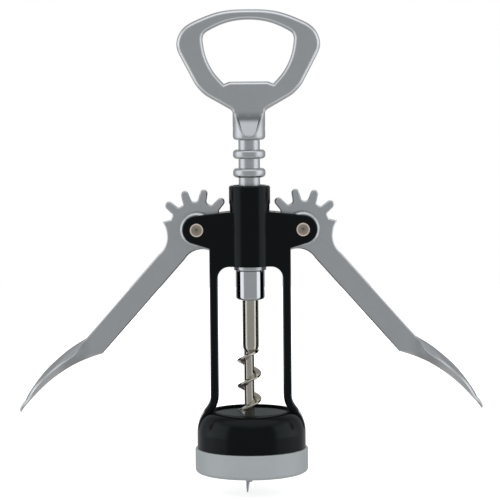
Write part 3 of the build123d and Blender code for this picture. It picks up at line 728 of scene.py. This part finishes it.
class CORKSCREW_OT_rivets(bpy.types.Operator):
    """Model the pivot rivets with bevelled, dimpled heads and finish the cross pins"""

    bl_idname = "corkscrew.rivets"
    bl_label = "Model the rivets"

    def execute(self, context):
        profile = rivet_profile(context.scene.corkscrew_rivet)
        material = rivet_material(context.scene.corkscrew_finish)
        for node in PIVOT_NODES:
            low, high = (Vector(corner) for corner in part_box(node))
            middle = (low + high) / 2
            rivet = turned_object(node.replace("pin", "rivet"), profile, middle)
            rivet.data.materials.append(material)
            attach(rivet, "frame")
            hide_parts(node)
        for node in CROSS_PIN_NODES:
            dress(node, material)
        return {"FINISHED"}


class CORKSCREW_OT_stage(bpy.types.Operator):
    """Set the floor, the studio light and the camera"""

    bl_idname = "corkscrew.stage"
    bl_label = "Set the stage"

    def execute(self, context):
        settings = context.scene.corkscrew_stage
        self.add_floor(context, settings)
        self.add_world(context, settings)
        self.add_lamp(context, settings)
        self.add_camera(context, settings)
        context.scene.view_settings.view_transform = "Standard"
        return {"FINISHED"}

    def add_floor(self, context, settings):
        """A plain pale floor that is white to the camera where no shadow falls."""
        half = settings.floor_width / 2
        corners = ((-half, -half), (half, -half), (half, half), (-half, half))
        mesh = bpy.data.meshes.new("floor")
        mesh.from_pydata([(x, y, CAD_LOW.z) for x, y in corners], [], [(0, 1, 2, 3)])
        floor = bpy.data.objects.new("floor", mesh)
        floor.visible_glossy = False
        context.scene.collection.objects.link(floor)
        material, graph = new_material("floor_finish")
        place = graph.place()
        grain = graph.noise(place, 30 * MILLIMETRE)
        away = graph.add("ShaderNodeVectorMath", {"operation": "LENGTH"}, {0: place}, output=1)
        seen = graph.add("ShaderNodeLightPath", output="Is Camera Ray")
        glow = seen * (FLOOR_GLOW_NEAR + (1.0 - FLOOR_GLOW_NEAR) * away.after(FLOOR_GLOW_STEP))
        graph.surface({
            "Base Color": graph.toned(settings.floor_colour, grain, levels=(0.99, 1.01)),
            "Roughness": 0.9,
            "Specular IOR Level": 0.0,
            "Emission Color": graph.blend(glow, BLACK, WHITE),
            "Emission Strength": 1.0,
        })
        mesh.materials.append(material)
        floor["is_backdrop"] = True

    def add_world(self, context, settings):
        """White to the camera, soft on matt surfaces, and a studio of bright panels in reflections."""
        world = bpy.data.worlds.new("studio")
        world.use_nodes = True
        world.cycles.sampling_method = "NONE"
        context.scene.world = world
        graph = Graph(world.node_tree)
        x, y, up = graph.parts(graph.add("ShaderNodeTexCoord", output="Generated"))
        forward = (0.0 - y) / (x * x + y * y + TINY) ** 0.5
        gap = up.within(PANELS_GAP_START_UP, PANELS_GAP_END_UP)
        panels = forward.within(PANELS_START_FORWARD, PANELS_END_FORWARD)
        panels = panels * up.before(PANELS_TOP_UP) * (1.0 - gap)
        surroundings = (
            (forward.before(BACK_WALL_END_FORWARD), settings.back_wall),
            (forward.before(BACKDROP_END_FORWARD), WHITE),
            (panels, settings.side_panels),
            (up.before(GROUND_END_UP), settings.ground),
            (up.after(CEILING_START_UP) * forward.after(CEILING_START_FORWARD), settings.ceiling),
        )
        studio = shade(settings.front_wall)
        for share, colour in surroundings:
            studio = graph.blend(share, studio, shade(colour))
        glossy = graph.add("ShaderNodeLightPath", output="Is Glossy Ray")
        seen = graph.add("ShaderNodeLightPath", output="Is Camera Ray")
        seen = seen + graph.add("ShaderNodeLightPath", output="Is Transmission Ray")
        bright = shade(settings.side_panels)
        matt = graph.blend(panels * PANELS_ON_MATT, shade(settings.ambient), bright)
        light = graph.blend(glossy, matt, studio)
        light = graph.blend(seen, light, WHITE)
        background = graph.add("ShaderNodeBackground", None, {"Color": light})
        graph.add("ShaderNodeOutputWorld", None, {"Surface": background})

    def add_lamp(self, context, settings):
        """One large soft lamp above and in front of the object."""
        lamp = bpy.data.lights.new("key", "AREA")
        lamp.size = settings.lamp_size
        lamp.energy = settings.lamp_power
        holder = bpy.data.objects.new("key", lamp)
        holder.location = CAD_MIDDLE + Vector(settings.lamp_offset)
        aim = CAD_MIDDLE - holder.location
        holder.rotation_euler = aim.to_track_quat("-Z", "Y").to_euler()
        holder.visible_glossy = False
        context.scene.collection.objects.link(holder)

    def add_camera(self, context, settings):
        """A long lens in front, a little above the object and looking down on it."""
        lens = bpy.data.cameras.new("camera")
        lens.sensor_width = SENSOR_WIDTH_MM
        lens.lens = settings.camera_lens
        lens.clip_start = CAMERA_CLIP_START
        camera = bpy.data.objects.new("camera", lens)
        camera.location = settings.camera_place
        sight = Vector(settings.camera_aim) - Vector(settings.camera_place)
        roll = Matrix.Rotation(settings.camera_roll, 3, "Z")
        turn = sight.to_track_quat("-Z", "Y").to_matrix() @ roll
        camera.rotation_euler = turn.to_euler()
        context.scene.collection.objects.link(camera)
        context.scene.camera = camera


STEP_OPERATORS = (
    CORKSCREW_OT_satin,
    CORKSCREW_OT_frame,
    CORKSCREW_OT_base,
    CORKSCREW_OT_worm,
    CORKSCREW_OT_rivets,
    CORKSCREW_OT_stage,
)


class CORKSCREW_PT_panel(bpy.types.Panel):
    """Lists the steps that finish the corkscrew"""

    bl_idname = "CORKSCREW_PT_panel"
    bl_label = "Lever corkscrew"
    bl_space_type = "VIEW_3D"
    bl_region_type = "UI"
    bl_category = "Corkscrew"

    def draw(self, context):
        for operator in STEP_OPERATORS:
            self.layout.operator(operator.bl_idname)


SETTING_GROUPS = {
    "corkscrew_finish": CorkscrewFinish,
    "corkscrew_rivet": CorkscrewRivet,
    "corkscrew_stage": CorkscrewStage,
}


def register():
    """Register the settings, the steps and the panel."""
    for name, group in SETTING_GROUPS.items():
        bpy.utils.register_class(group)
        setattr(bpy.types.Scene, name, bpy.props.PointerProperty(type=group))
    for item in (*STEP_OPERATORS, CORKSCREW_PT_panel):
        bpy.utils.register_class(item)


def unregister():
    """Take the panel, the steps and the settings away again."""
    for item in (CORKSCREW_PT_panel, *reversed(STEP_OPERATORS)):
        bpy.utils.unregister_class(item)
    for name, group in reversed(SETTING_GROUPS.items()):
        delattr(bpy.types.Scene, name)
        bpy.utils.unregister_class(group)


def main():
    """Run every step in order."""
    register()
    bpy.ops.corkscrew.satin()
    bpy.ops.corkscrew.frame()
    bpy.ops.corkscrew.base()
    bpy.ops.corkscrew.worm()
    bpy.ops.corkscrew.rivets()
    bpy.ops.corkscrew.stage()


if __name__ == "__main__":
    main()
